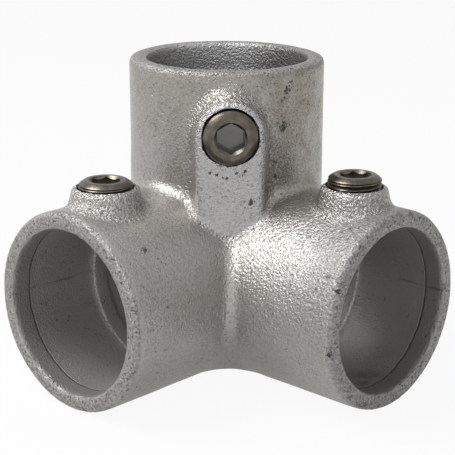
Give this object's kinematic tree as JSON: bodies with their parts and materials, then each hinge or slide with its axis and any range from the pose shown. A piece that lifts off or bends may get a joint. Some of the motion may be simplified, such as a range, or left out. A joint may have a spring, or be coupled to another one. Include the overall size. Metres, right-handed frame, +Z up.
{
  "type": "corner tube fitting",
  "caption": "Cast corner fitting that joins an upright round tube to level tubes at right angles, each held in its socket by a hexagon-socket set screw.",
  "frame": {"origin": "middle of the upright tube's seat, on the tube stop of the upright socket", "axes": "+Z up, out of the upright socket; +X out of the left socket and +Y out of the right one, as seen from the front screw; the three socket axes cross 35 mm below the origin"},
  "size_m": [0.0974, 0.0974, 0.0974],
  "materials": {
    "galvanised_iron": "rough cast, hot-dip galvanised",
    "screw_steel": "machined, lightly oiled"
  },
  "bodies": {
    "fitting": {"casting": "galvanised_iron"},
    "front_screw": {"front_set_screw": "screw_steel"},
    "left_screw": {"left_set_screw": "screw_steel"},
    "right_screw": {"right_set_screw": "screw_steel"}
  },
  "joints": [
    {"name": "front_screw_travel", "type": "slide", "parent": "fitting", "child": "front_screw", "axis": [0.7071, 0.7071, 0], "range_m": [-0.00215, 0.008]},
    {"name": "left_screw_travel", "type": "slide", "parent": "fitting", "child": "left_screw", "axis": [0, 0, 1], "range_m": [-0.00195, 0.0082]},
    {"name": "right_screw_travel", "type": "slide", "parent": "fitting", "child": "right_screw", "axis": [0, 0, 1], "range_m": [-0.00335, 0.0068]}
  ]
}
